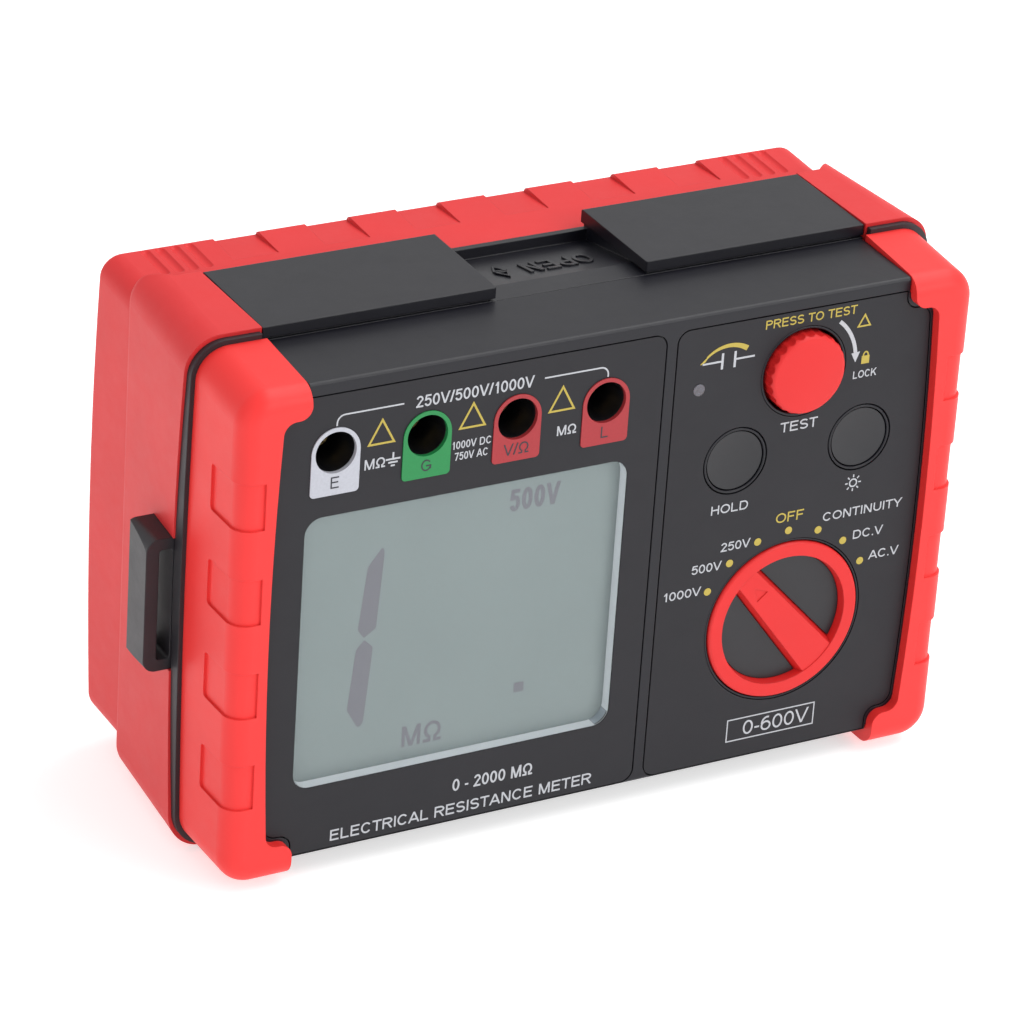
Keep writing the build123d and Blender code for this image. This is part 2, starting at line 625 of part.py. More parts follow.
# ---- electronics -------------------------------------------------------------------------
def make_main_pcb():
    board = slab(rounded(-82.5, 82.5, 11.5, 112.5, 3.0), 16.0, 17.6)
    for x in SOCKET_X.values():
        board -= disc(x, SOCKET_Z, 6.2, 0, 60)
    board -= disc(DIAL_X, DIAL_Z, 3.4, 0, 60)
    board -= disc(KNOB_X, KNOB_Z, 5.4, 0, 60)
    for x, z in screw_places():
        board -= disc(x, z, 4.5, 0, 60)
    return board


def make_transformer():
    core = block(-70, -40, 33, 55, 19, 45)
    bobbin = Pos(-55, y_at(44), 33) * Cylinder(10.5, 34)
    return core + bobbin


def make_capacitors():
    parts = []
    for x in (-28, -14, 0):
        can = Pos(x, y_at(44), 29) * Cylinder(5.5, 26)
        parts.append(can)
    return parts


def make_fuse():
    body = Pos(24, y_at(44), 22) * Rot(0, 90, 0) * Cylinder(2.6, 20)
    clips = [block(24 + s * 8 - 1.5, 24 + s * 8 + 1.5, 40, 48, 16, 19.4) for s in (-1, 1)]
    return body, clips


def make_lower_board():
    return block(-76, 76, 32, 60, 14.4, 16.0)


def make_battery_box():
    half = CELL_PITCH * CELLS / 2 + 1.5
    box = block(-half, half, 30.0, 48.0, CELL_LOW_Z - 3.5, 113.0)
    box -= block(-half + 1.5, half - 1.5, 31.5, 46.5, CELL_LOW_Z - 1.8, 120)
    for index in range(1, CELLS):
        x = (index - CELLS / 2) * CELL_PITCH
        box += block(x - 0.6, x + 0.6, 31.0, 47.0, CELL_LOW_Z - 2, 100)
    return box


def cell_x(index):
    return (index - (CELLS - 1) / 2) * CELL_PITCH


def make_cell(index):
    centre = (cell_x(index), y_at(CELL_DEPTH))
    can = Pos(centre[0], centre[1], CELL_LOW_Z + 24.5) * Cylinder(CELL_R, 49.0)
    can = fillet(can.edges().filter_by(GeomType.CIRCLE), 0.6)
    return can + Pos(centre[0], centre[1], CELL_LOW_Z + 49.4) * Cylinder(2.7, 1.2)


def make_cell_springs():
    springs = []
    for index in range(CELLS):
        base = Pos(cell_x(index), y_at(CELL_DEPTH), CELL_LOW_Z - 0.9)
        springs.append(base * (Cylinder(5.0, 1.6) - Cylinder(3.8, 1.6)))
    return springs


def make_screws():
    screws = []
    for x, z in screw_places():
        shank = disc(x, z, 1.25, 12.0, 70.3)
        head = disc(x, z, 2.9, 70.2, 72.6)
        slot_a = block(x - 1.7, x + 1.7, 71.6, 73, z - 0.35, z + 0.35)
        slot_b = block(x - 0.35, x + 0.35, 71.6, 73, z - 1.7, z + 1.7)
        screws.append(shank + head - slot_a - slot_b)
    return screws


def make_rear_feet():
    feet = []
    for x in (-62, 62):
        foot = Pos(x, y_at(46), -0.7) * Cylinder(6.0, 2.6)
        feet.append(fillet(foot.edges().filter_by(GeomType.CIRCLE).sort_by(Axis.Z)[0], 0.6))
    return feet


def make_rear_plate():
    plate = slab(rounded(-44.8, 44.8, 40.2, 87.8, 2.8), BACK_DEPTH - 1.0, BACK_DEPTH - 0.35)
    return plate


# ---- build and write ---------------------------------------------------------------------
def main():
    os.makedirs("parts", exist_ok=True)

    display, control = label_shapes()
    save("front_case", make_front_case(display, control))
    display_label = slab(display, 0, LABEL_THICK) - slab(window_sketch(0), -1, 3)
    for x in SOCKET_X.values():
        display_label -= slab(socket_tag_sketch(x, 0), -1, 3)
    save("display_label", display_label)
    control_label = slab(control, 0, LABEL_THICK)
    for x in (HOLD_X, LIGHT_X):
        control_label -= disc(x, BUTTON_Z, BUTTON_HOLE_R, -1, 3)
    control_label -= disc(KNOB_X, KNOB_Z, KNOB_COLLAR_R + 0.1, -1, 3)
    control_label -= disc(DIAL_X, DIAL_Z, DIAL_SEAT_R[1] + 0.1, -1, 3)
    control_label -= disc(LED_X, LED_Z, LED_R + 0.05, -1, 3)
    save("control_label", control_label)

    left, right = make_bumpers()
    save("bumper_left", left)
    save("bumper_right", right)
    save("middle_frame", make_middle_frame())
    save("strap_lug_left", make_lug(-1))
    save("strap_lug_right", make_lug(1))
    save("back_shell", make_back_shell())
    save("battery_lid", make_battery_lid())
    save("lid_hinge_pins", Compound(children=make_lid_pins()))

    names = ("lcd_window", "lcd_bezel", "lcd_glass", "lcd_backlight", "display_connectors")
    for name, shape in zip(names, make_display_parts()):
        save(name, shape)

    for name, x in SOCKET_X.items():
        save(f"socket_tag_{name}", make_socket_tag(x))
        save(f"socket_sleeve_{name}", make_socket_sleeve(x))
        save(f"socket_contact_{name}", make_socket_contact(x))

    for name, x in (("hold", HOLD_X), ("light", LIGHT_X)):
        save(f"{name}_button", make_button(x))
    places = (HOLD_X, LIGHT_X)
    save("button_rings", Compound(children=[make_button_ring(x) for x in places]))
    save("button_switches", Compound(children=[make_tact_switch(x) for x in places]))

    save("test_knob", make_test_knob())
    save("test_plunger", make_test_plunger())
    save("test_collar", make_test_collar())
    save("test_spring", make_test_spring())
    save("test_switch", make_test_switch())

    save("rotary_dial", make_rotary_dial())
    save("dial_inserts", Compound(children=make_dial_inserts()))
    save("dial_shaft", make_dial_shaft())
    save("dial_seat", make_dial_seat())
    save("rotary_switch", make_switch_base())

    save("status_led", disc(LED_X, LED_Z, LED_R, -0.1, 16.0))
    save("main_board", make_main_pcb())
    save("lower_board", make_lower_board())
    save("transformer", make_transformer())
    save("capacitors", Compound(children=make_capacitors()))
    fuse, clips = make_fuse()
    save("fuse", fuse)
    save("fuse_clips", Compound(children=clips))

    save("battery_box", make_battery_box())
    for index in range(CELLS):
        save(f"battery_cell_{index + 1}", make_cell(index))
    save("battery_springs", Compound(children=make_cell_springs()))

    save("case_screws", Compound(children=make_screws()))
    save("rear_feet", Compound(children=make_rear_feet()))
    save("rear_plate", make_rear_plate())


main()
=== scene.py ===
import json
import math

import bmesh
import bpy
from mathutils import Euler, Matrix, Vector
from mathutils.bvhtree import BVHTree


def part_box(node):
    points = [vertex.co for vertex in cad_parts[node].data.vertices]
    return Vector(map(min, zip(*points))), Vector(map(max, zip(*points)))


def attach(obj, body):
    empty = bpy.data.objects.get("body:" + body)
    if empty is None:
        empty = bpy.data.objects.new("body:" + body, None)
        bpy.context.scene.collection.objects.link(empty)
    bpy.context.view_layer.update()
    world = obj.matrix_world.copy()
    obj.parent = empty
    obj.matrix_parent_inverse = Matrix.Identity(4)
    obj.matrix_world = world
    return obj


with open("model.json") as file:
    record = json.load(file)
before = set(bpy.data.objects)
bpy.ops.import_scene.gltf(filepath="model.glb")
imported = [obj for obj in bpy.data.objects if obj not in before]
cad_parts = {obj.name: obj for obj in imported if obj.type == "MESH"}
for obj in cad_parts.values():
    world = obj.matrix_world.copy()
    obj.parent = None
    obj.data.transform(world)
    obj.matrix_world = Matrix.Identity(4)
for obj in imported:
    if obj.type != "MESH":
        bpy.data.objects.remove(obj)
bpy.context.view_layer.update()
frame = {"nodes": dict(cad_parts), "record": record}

MM = 0.001
NODES = frame["nodes"]


def box_mm(node):
    low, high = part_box(node)
    return low / MM, high / MM


# ---- places read from the frame (millimetres) ---------------------------------------------
LABEL_Y = box_mm("display_label")[0].y          # plane of the two front labels
PRINT_THICK = 0.05
LAYER_STEP = 0.0015                             # keeps overlapping strokes off one another
LAYERS = 8                                      # number of such levels before they repeat
SOCKETS = ("earth", "guard", "volt", "line")


def centre_xz(node):
    low, high = box_mm(node)
    return (low.x + high.x) / 2, (low.z + high.z) / 2


KNOB_X, KNOB_Z = centre_xz("test_knob")
DIAL_X, DIAL_Z = centre_xz("rotary_dial")
HOLD_X, BUTTON_Z = centre_xz("hold_button")
LIGHT_X = centre_xz("light_button")[0]
TEST_Z = KNOB_Z + 0.2                           # middle of the print around the knob
SCALE_X = DIAL_X - 0.6                          # middle of the print around the dial
SOCKET_X = {name: centre_xz(f"socket_sleeve_{name}")[0] for name in SOCKETS}
SOCKET_Z = centre_xz("socket_sleeve_line")[1]
WINDOW_LOW = box_mm("lcd_window")[0]
WINDOW_X = centre_xz("lcd_window")[0]
GLASS_FRONT_Y = box_mm("lcd_glass")[0].y
LID_LOW = box_mm("battery_lid")[0]


# ---- materials -----------------------------------------------------------------------------
class Nodes:
    """A small helper that adds and links shader nodes."""

    def __init__(self, name):
        self.material = bpy.data.materials.new(name)
        self.material.use_nodes = True
        self.tree = self.material.node_tree
        self.tree.nodes.clear()
        self.output = self.add("ShaderNodeOutputMaterial")
        coords = self.add("ShaderNodeTexCoord")
        self.position = coords.outputs["Object"]

    def add(self, kind, **settings):
        node = self.tree.nodes.new(kind)
        for key, value in settings.items():
            setattr(node, key, value)
        return node

    def link(self, source, target):
        self.tree.links.new(source, target)

    def noise(self, size_mm, detail=3.0, rough=0.55, stretch=None):
        node = self.add("ShaderNodeTexNoise")
        node.inputs["Scale"].default_value = 1.0 / (size_mm * MM)
        node.inputs["Detail"].default_value = detail
        node.inputs["Roughness"].default_value = rough
        source = self.position
        if stretch:
            mapping = self.add("ShaderNodeMapping")
            mapping.inputs["Scale"].default_value = stretch
            self.link(self.position, mapping.inputs["Vector"])
            source = mapping.outputs["Vector"]
        self.link(source, node.inputs["Vector"])
        return node.outputs["Fac"]

    def ranged(self, source, low, high, from_low=0.3, from_high=0.7):
        node = self.add("ShaderNodeMapRange")
        node.inputs["From Min"].default_value = from_low
        node.inputs["From Max"].default_value = from_high
        node.inputs["To Min"].default_value = low
        node.inputs["To Max"].default_value = high
        self.link(source, node.inputs["Value"])
        return node.outputs["Result"]

    def mixed(self, factor, colour_a, colour_b):
        node = self.add("ShaderNodeMix", data_type="RGBA")
        self.link(factor, node.inputs["Factor"])
        node.inputs["A"].default_value = (*colour_a, 1)
        node.inputs["B"].default_value = (*colour_b, 1)
        return node.outputs["Result"]

    def bump(self, height, depth_mm, strength=1.0, normal=None):
        node = self.add("ShaderNodeBump")
        node.inputs["Strength"].default_value = strength
        node.inputs["Distance"].default_value = depth_mm * MM
        self.link(height, node.inputs["Height"])
        if normal is not None:
            self.link(normal, node.inputs["Normal"])
        return node.outputs["Normal"]

    def bevel(self, radius_mm):
        node = self.add("ShaderNodeBevel", samples=4)
        node.inputs["Radius"].default_value = radius_mm * MM
        return node.outputs["Normal"]

    def principled(self, **values):
        node = self.add("ShaderNodeBsdfPrincipled")
        for key, value in values.items():
            node.inputs[key.replace("_", " ")].default_value = value
        self.link(node.outputs["BSDF"], self.output.inputs["Surface"])
        return node


def shade(colour, factor):
    return tuple(min(1.0, channel * factor) for channel in colour)


def moulded(name, colour, rough, grain_mm=0.35, grain_depth=0.02, spread=0.10, edge_mm=0.25,
            specular=0.5):
    """Moulded plastic or rubber: broad tone drift, fine grain, and a softened edge."""
    n = Nodes(name)
    shader = n.principled(Specular_IOR_Level=specular)
    drift = n.noise(22.0, 2.0)
    tone = n.mixed(n.ranged(drift, 0.0, 1.0), shade(colour, 1 - spread), shade(colour, 1 + spread))
    n.link(tone, shader.inputs["Base Color"])
    smears = n.noise(7.0, 4.0, 0.7, (1.0, 1.0, 1.6))
    n.link(n.ranged(smears, rough - 0.03, rough + 0.04), shader.inputs["Roughness"])
    grain = n.noise(grain_mm, 2.0, 0.6)
    normal = n.bevel(edge_mm) if edge_mm else None
    n.link(n.bump(grain, grain_depth, 0.6, normal), shader.inputs["Normal"])
    return n.material


def metal(name, colour, rough):
    n = Nodes(name)
    shader = n.principled(Metallic=1.0)
    scratches = n.noise(0.5, 3.0, 0.6, (1.0, 6.0, 1.0))
    tone = n.mixed(n.ranged(scratches, 0.0, 1.0), shade(colour, 0.85), colour)
    n.link(tone, shader.inputs["Base Color"])
    n.link(n.ranged(scratches, rough - 0.06, rough + 0.08), shader.inputs["Roughness"])
    n.link(n.bump(scratches, 0.01, 0.4), shader.inputs["Normal"])
    return n.material


def printed(name, colour, rough=0.5):
    """Screen-printed ink with slightly uneven cover."""
    n = Nodes(name)
    shader = n.principled(Specular_IOR_Level=0.35)
    cover = n.noise(0.6, 3.0, 0.65)
    tone = n.mixed(n.ranged(cover, 0.0, 1.0), shade(colour, 0.93), shade(colour, 1.04))
    n.link(tone, shader.inputs["Base Color"])
    n.link(n.ranged(cover, rough - 0.05, rough + 0.08), shader.inputs["Roughness"])
    n.link(n.bump(n.noise(0.25, 2.0), 0.008, 0.4), shader.inputs["Normal"])
    return n.material


def clear_window(name):
    """Clear plastic: see-through, with its gloss stronger at a grazing angle."""
    n = Nodes(name)
    gloss = n.add("ShaderNodeBsdfPrincipled")
    gloss.inputs["Base Color"].default_value = (0.9, 0.93, 0.95, 1)
    haze = n.noise(5.0, 3.0, 0.6)
    n.link(n.ranged(haze, 0.04, 0.10), gloss.inputs["Roughness"])
    clear = n.add("ShaderNodeBsdfTransparent")
    clear.inputs["Color"].default_value = (0.97, 0.98, 0.985, 1)
    facing = n.add("ShaderNodeLayerWeight")
    facing.inputs["Blend"].default_value = 0.18
    mix = n.add("ShaderNodeMixShader")
    n.link(n.ranged(facing.outputs["Fresnel"], 0.03, 0.9, 0.0, 1.0), mix.inputs["Fac"])
    n.link(clear.outputs["BSDF"], mix.inputs[1])
    n.link(gloss.outputs["BSDF"], mix.inputs[2])
    n.link(mix.outputs["Shader"], n.output.inputs["Surface"])
    return n.material


def display_glass(name, low, high):
    """Grey-green reflective display with a faint drift of tone."""
    n = Nodes(name)
    shader = n.principled(Specular_IOR_Level=0.25)
    drift = n.noise(40.0, 2.0, 0.5)
    tone = n.mixed(n.ranged(drift, 0.0, 1.0), low, high)
    n.link(tone, shader.inputs["Base Color"])
    n.link(n.ranged(n.noise(3.0, 2.0), 0.38, 0.48), shader.inputs["Roughness"])
    n.link(n.bump(n.noise(0.3, 2.0), 0.004, 0.3), shader.inputs["Normal"])
    return n.material


def lens(name):
    n = Nodes(name)
    shader = n.principled(Specular_IOR_Level=0.6, Subsurface_Weight=0.2)
    tone = n.mixed(n.ranged(n.noise(0.8, 2.0), 0, 1), (0.085, 0.072, 0.085), (0.115, 0.098, 0.115))
    n.link(tone, shader.inputs["Base Color"])
    n.link(n.ranged(n.noise(1.0, 2.0), 0.22, 0.32), shader.inputs["Roughness"])
    return n.material


RED_SOFT = (0.78, 0.028, 0.026)
RED_HARD = (0.64, 0.026, 0.028)
RED_GLOSS = (0.64, 0.018, 0.018)
BLACK = (0.0055, 0.0055, 0.0095)
LABEL = (0.0125, 0.012, 0.0155)
INK_WHITE = (0.44, 0.45, 0.48)
INK_YELLOW = (0.44, 0.34, 0.06)
INK_DARK = (0.03, 0.03, 0.04)

MATERIALS = {
    "red_bumper": moulded("soft_red", RED_SOFT, 0.44, 0.5, 0.012, 0.03, 0.35, 0.35),
    "red_shell": moulded("hard_red", RED_HARD, 0.50, 0.45, 0.015, 0.03, 0.3, 0.3),
    "red_knob": moulded("knob_red", RED_GLOSS, 0.40, 0.6, 0.008, 0.03, 0.25, 0.3),
    "black_case": moulded("case_black", BLACK, 0.36, 0.4, 0.012, 0.08, 0.3, 0.36),
    "black_frame": moulded("frame_black", (0.015, 0.013, 0.017), 0.50, 0.4, 0.02, 0.10, 0.35),
    "black_lid": moulded("lid_black", BLACK, 0.36, 0.4, 0.012, 0.08, 0.35, 0.42),
    "black_button": moulded("button_black", (0.006, 0.006, 0.009), 0.42, 0.3, 0.008, 0.06, 0.2),
    "panel_label": moulded("label_film", LABEL, 0.50, 0.22, 0.010, 0.05, 0.12, 0.3),
    "black_socket": moulded("socket_black", (0.007, 0.007, 0.009), 0.35, 0.4, 0.01, 0.1, 0.2),
    "black_rubber": moulded("foot_rubber", (0.02, 0.02, 0.02), 0.7, 0.4, 0.03, 0.1, 0.3),
    "black_inner": moulded("inner_black", (0.03, 0.03, 0.03), 0.5),
    "white_inner": moulded("inner_white", (0.7, 0.7, 0.68), 0.45),
    "display_bezel": moulded("bezel_pale", (0.28, 0.34, 0.39), 0.45, 0.4, 0.01, 0.04),
    "rubber_inner": moulded("strip_rubber", (0.55, 0.55, 0.52), 0.6),
    "switch_inner": moulded("switch_black", (0.04, 0.04, 0.045), 0.4),
    "rear_plate": moulded("plate_silver", (0.35, 0.36, 0.37), 0.4, 0.3, 0.01, 0.05, 0.15),
    "circuit_board": moulded("board_green", (0.02, 0.14, 0.05), 0.35, 0.8, 0.02),
    "copper_coil": metal("coil_copper", (0.65, 0.30, 0.12), 0.35),
    "capacitor_can": moulded("can_blue", (0.03, 0.06, 0.22), 0.3),
    "battery_jacket": moulded("cell_jacket", (0.12, 0.13, 0.15), 0.3),
    "steel": metal("plated_steel", (0.62, 0.63, 0.65), 0.30),
    "brass": metal("turned_brass", (0.72, 0.52, 0.22), 0.28),
    "tag_white": printed("tag_white", (0.43, 0.44, 0.49), 0.45),
    "tag_green": printed("tag_green", (0.015, 0.215, 0.060), 0.45),
    "tag_red": printed("tag_red", (0.34, 0.026, 0.032), 0.45),
    "clear_window": clear_window("window_clear"),
    "fuse_glass": clear_window("fuse_clear"),
    "lcd_glass": display_glass("display_grey", (0.224, 0.266, 0.258), (0.240, 0.284, 0.275)),
    "led_lens": lens("lamp_lens"),
}
INK = {
    "white": printed("ink_white", INK_WHITE),
    "yellow": printed("ink_yellow", INK_YELLOW),
    "dark": printed("ink_dark", INK_DARK),
    "segment": printed("display_segment", (0.165, 0.155, 0.180)),
}


def dress_cad_nodes():
    for subpart in frame["record"]["subparts"]:
        node = NODES[subpart["node"]]
        node.data.materials.clear()
        node.data.materials.append(MATERIALS[subpart["material_slot"]])


# ---- lettering ------------------------------------------------------------------------------
# Each character fills a box of its own width (in cap heights); strokes run along the middle of
# the line, with 0 and 1 at the box's edges. "line" is a bent line, "slant" a straight one cut
# level at its ends, "arc" an ellipse's arc from one angle to another.
def line(*points):
    return "line", points


def slant(x_low, x_high, low=0.0, high=1.0):
    return "slant", (x_low, x_high, low, high)


def arc(x, z, wide, tall, start=0, end=360):
    return "arc", (x, z, wide, tall, start, end)


STEM = line((0, 0), (0, 1))
BOWL_TOP = (line((0, 1), (0.55, 1)), arc(0.55, 0.755, 0.45, 0.245, 90, -90),
            line((0, 0.51), (0.55, 0.51)))
GLYPHS = {
    "A": (0.98, 0.0, (slant(0, 0.5), slant(1, 0.5), line((0.24, 0.27), (0.76, 0.27)))),
    "C": (0.90, 0.06, (arc(0.5, 0.5, 0.5, 0.5, 38, 322),)),
    "D": (0.86, 0.09, (STEM, line((0, 1), (0.5, 1)), arc(0.5, 0.5, 0.5, 0.5, 90, -90),
                       line((0, 0), (0.5, 0)))),
    "E": (0.76, 0.09, (line((1, 1), (0, 1), (0, 0), (1, 0)), line((0, 0.53), (0.9, 0.53)))),
    "F": (0.69, 0.08, (line((1, 1), (0, 1), (0, 0)), line((0, 0.51), (0.85, 0.51)))),
    "G": (0.95, 0.06, (arc(0.5, 0.5, 0.5, 0.5, 38, 335), line((0.55, 0.46), (1, 0.46), (1, 0.2)))),
    "H": (0.81, 0.10, (STEM, line((1, 0), (1, 1)), line((0, 0.53), (1, 0.53)))),
    "I": (0.0, 0.10, (STEM,)),
    "K": (0.88, 0.07, (STEM, slant(0.05, 1, 0.36, 1), slant(1, 0.38, 0, 0.64))),
    "L": (0.70, 0.08, (line((0, 1), (0, 0), (1, 0)),)),
    "M": (0.98, 0.10, (STEM, line((1, 0), (1, 1)), slant(0.5, 0.03), slant(0.5, 0.97))),
    "N": (0.81, 0.10, (STEM, line((1, 0), (1, 1)), slant(0.96, 0.04))),
    "O": (0.97, 0.06, (arc(0.5, 0.5, 0.5, 0.5),)),
    "P": (0.79, 0.07, (STEM, *BOWL_TOP)),
    "R": (0.86, 0.06, (STEM, *BOWL_TOP, slant(1, 0.52, 0, 0.5))),
    "S": (0.80, 0.06, (arc(0.5, 0.755, 0.48, 0.245, 25, 270), arc(0.5, 0.255, 0.5, 0.255, 90, -155))),
    "T": (0.81, 0.03, (line((0, 1), (1, 1)), line((0.5, 0), (0.5, 1)))),
    "U": (0.81, 0.10, (line((0, 1), (0, 0.4)), arc(0.5, 0.4, 0.5, 0.4, 180, 360),
                       line((1, 0.4), (1, 1)))),
    "V": (0.93, 0.0, (slant(0.5, 0), slant(0.5, 1))),
    "Y": (0.93, 0.0, (slant(0.5, 0, 0.4, 1), slant(0.5, 1, 0.4, 1), line((0.5, 0), (0.5, 0.45)))),
    "Ω": (0.95, 0.05, (arc(0.5, 0.58, 0.46, 0.42, -52, 232), line((0, 0), (0.3, 0), (0.3, 0.2)),
                       line((1, 0), (0.7, 0), (0.7, 0.2)))),
    "0": (0.68, 0.06, (arc(0.5, 0.5, 0.5, 0.5),)),
    "1": (0.34, 0.16, (line((1, 0), (1, 1)), slant(0, 0.95, 0.68, 0.98))),
    "2": (0.68, 0.05, (arc(0.5, 0.72, 0.46, 0.28, 170, -25), slant(0.05, 0.86, 0.08, 0.62),
                       line((0, 0), (1, 0)))),
    "5": (0.68, 0.05, (line((0.92, 1), (0.2, 1)), slant(0.05, 0.2, 0.5, 1),
                       arc(0.5, 0.33, 0.5, 0.33, 140, -160))),
    "6": (0.68, 0.05, (arc(0.5, 0.32, 0.5, 0.32), arc(0.62, 0.5, 0.62, 0.5, 180, 72))),
    "7": (0.68, 0.05, (line((0, 1), (1, 1)), slant(0.28, 1, 0, 0.98))),
    "/": (0.45, 0.0, (slant(0, 1),)),
    "-": (0.32, 0.06, (line((0, 0.36), (1, 0.36)),)),
    ".": (0.0, 0.10, (line((0, 0), (0, 0.001)),)),
    " ": (0.42, 0.0, ()),
}
WEIGHT = 0.145                                  # a stroke's width in cap heights


class Print:
    """Gathers flat marks in millimetres and makes them one thin raised piece.

    right and up are the directions of the marks on their surface, which passes through start.
    """

    def __init__(self, name, start=(0, LABEL_Y, 0), right=(1, 0, 0), up=(0, 0, 1),
                 thick=PRINT_THICK):
        self.name = name
        self.start, self.right, self.up = Vector(start), Vector(right), Vector(up)
        self.out = self.right.cross(self.up)
        self.thick = thick
        self.layers = 0
        self.mesh = bmesh.new()

    def strip(self, left, right, closed=False):
        """A raised band between two rows of points."""
        height = self.thick + LAYER_STEP * (self.layers % LAYERS)
        self.layers += 1
        rows = []
        for points, level in ((left, height), (right, height), (right, 0), (left, 0)):
            rows.append([self.mesh.verts.new(self.start + self.right * x + self.up * z
                                             + self.out * level) for x, z in points])
        count = len(left)
        for index in range(count if closed else count - 1):
            after = (index + 1) % count
            for row in range(4):
                a, b = rows[row], rows[(row + 1) % 4]
                self.mesh.faces.new((a[index], b[index], b[after], a[after]))
        if not closed:
            self.mesh.faces.new([row[0] for row in reversed(rows)])
            self.mesh.faces.new([row[-1] for row in rows])

    def stroke(self, points, width, closed=False, squared=False):
        """A line of even width through points, mitred at its corners."""
        points = [Vector(point) for point in points]
        if squared:
            for end, near in ((0, 1), (-1, -2)):
                points[end] += (points[end] - points[near]).normalized() * width / 2
        widths = width if isinstance(width, (list, tuple)) else [width] * len(points)
        left, right = [], []
        for index, here in enumerate(points):
            before = points[index - 1] if index or closed else None
            after = points[(index + 1) % len(points)] if index < len(points) - 1 or closed else None
            into = (here - before).normalized() if before is not None else None
            out = (after - here).normalized() if after is not None else into
            into = into or out
            normal = (into + out).normalized().orthogonal()
            reach = widths[index] / 2 / max(0.3, normal.dot(into.orthogonal()))
            left.append(here + normal * reach)
            right.append(here - normal * reach)
        self.strip(left, right, closed)

    def quad(self, a, b, c, d):
        self.strip([a, b], [d, c])

    def arc(self, x, z, wide, tall, start, end, width, steps=24):
        """Part of an ellipse from start to end, in degrees from the right towards up."""
        turns = [math.radians(start + (end - start) * index / steps) for index in range(steps + 1)]
        points = [(x + wide * math.cos(turn), z + tall * math.sin(turn)) for turn in turns]
        if abs(end - start) >= 360:
            self.stroke(points[:-1], width, closed=True)
        else:
            self.stroke(points, width)
        return points

    def disc(self, x, z, radius, steps=14):
        turns = [math.pi * (index + 0.02) / (steps + 0.04) for index in range(steps + 1)]
        upper = [(x + radius * math.cos(turn), z + radius * math.sin(turn)) for turn in turns]
        self.strip(upper, [(px, 2 * z - pz) for px, pz in upper])

    def triangle(self, x, z, wide, tall, width):
        """An upright outlined triangle with its base's middle at x, z."""
        self.stroke([(x - wide / 2, z), (x + wide / 2, z), (x, z + tall)], width, closed=True)

    def words(self, words, x, z, wide, tall, weight=WEIGHT):
        """Words centred on x with their feet at z, drawn to a given width and cap height."""
        thick = weight * tall
        loose = [GLYPHS[letter][0] + 2 * GLYPHS[letter][1] for letter in words]
        fixed = sum(1 for letter in words if GLYPHS[letter][0] == 0.0) * weight
        ends = GLYPHS[words[0]][1] + GLYPHS[words[-1]][1]
        stretch = (wide / tall - fixed) / (sum(loose) - ends)
        place = x - wide / 2 - GLYPHS[words[0]][1] * stretch * tall
        for letter, room in zip(words, loose):
            ink, bearing, strokes = GLYPHS[letter]
            width = max(ink * stretch * tall, thick)
            self.letter(strokes, place + bearing * stretch * tall, z, width, tall, thick)
            place += room * stretch * tall + (thick if ink == 0.0 else 0.0)

    def letter(self, strokes, x, z, wide, tall, thick):
        span_x, span_z = wide - thick, tall - thick

        def at(u, v):
            return x + thick / 2 + u * span_x, z + thick / 2 + v * span_z

        for kind, values in strokes:
            if kind == "line":
                self.stroke([at(u, v) for u, v in values], thick, squared=True)
            elif kind == "arc":
                u, v, half_wide, half_tall, start, end = values
                self.arc(*at(u, v), half_wide * span_x, half_tall * span_z, start, end, thick)
            else:
                u_low, u_high, v_low, v_high = values
                z_low, z_high = z + v_low * tall, z + v_high * tall
                x_low, x_high = at(u_low, 0)[0], at(u_high, 0)[0]
                half = thick / 2 * math.hypot(1, (x_high - x_low) / (z_high - z_low))
                half = min(half, thick)
                self.quad((x_low - half, z_low), (x_low + half, z_low),
                          (x_high + half, z_high), (x_high - half, z_high))

    def finish(self, material, body):
        bmesh.ops.recalc_face_normals(self.mesh, faces=self.mesh.faces[:])
        for vertex in self.mesh.verts:
            vertex.co *= MM
        data = bpy.data.meshes.new(self.name)
        self.mesh.to_mesh(data)
        self.mesh.free()
        data.materials.append(material)
        piece = bpy.data.objects.new(self.name, data)
        bpy.context.scene.collection.objects.link(piece)
        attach(piece, body)


# ---- printing on the display's label ---------------------------------------------------------
# Every mark is placed in millimetres from the middle of the part it belongs to.
FINE_LINE = 0.36                                # widths of drawn lines
SIGN_LINE = 0.42
TRIANGLE_LINE = 0.48


def range_bracket(mark):
    """The line that joins the first and last sockets to the voltages above them."""
    top = SOCKET_Z + 8.8                        # height of its level part
    bend = 1.9                                  # radius of its two bends
    gap = 17.5                                  # from the middle to the line's inner ends
    middle = (SOCKET_X["guard"] + SOCKET_X["volt"]) / 2
    mark.words("250V/500V/1000V", middle + 0.2, SOCKET_Z + 7.2, 29.4, 2.8)
    for socket, sign in (("earth", 1), ("line", -1)):
        x = SOCKET_X[socket]
        points = [(x, top - bend - 0.6)]
        for step in range(7):
            turn = math.radians(15 * step)
            points.append((x + sign * bend * (1 - math.cos(turn)), top - bend * (1 - math.sin(turn))))
        points.append((middle - sign * gap, top))
        mark.stroke(points, FINE_LINE)


def earth_sign(mark, x, z_top, size):
    """A stem over three bars that grow shorter, with its lengths as shares of its size."""
    stem, bar_step = 0.45, 0.22
    mark.stroke([(x, z_top), (x, z_top - size * stem)], SIGN_LINE)
    for step, half in enumerate((0.5, 0.32, 0.14)):
        z = z_top - size * (stem + bar_step * step)
        mark.stroke([(x - size * half, z), (x + size * half, z)], SIGN_LINE)


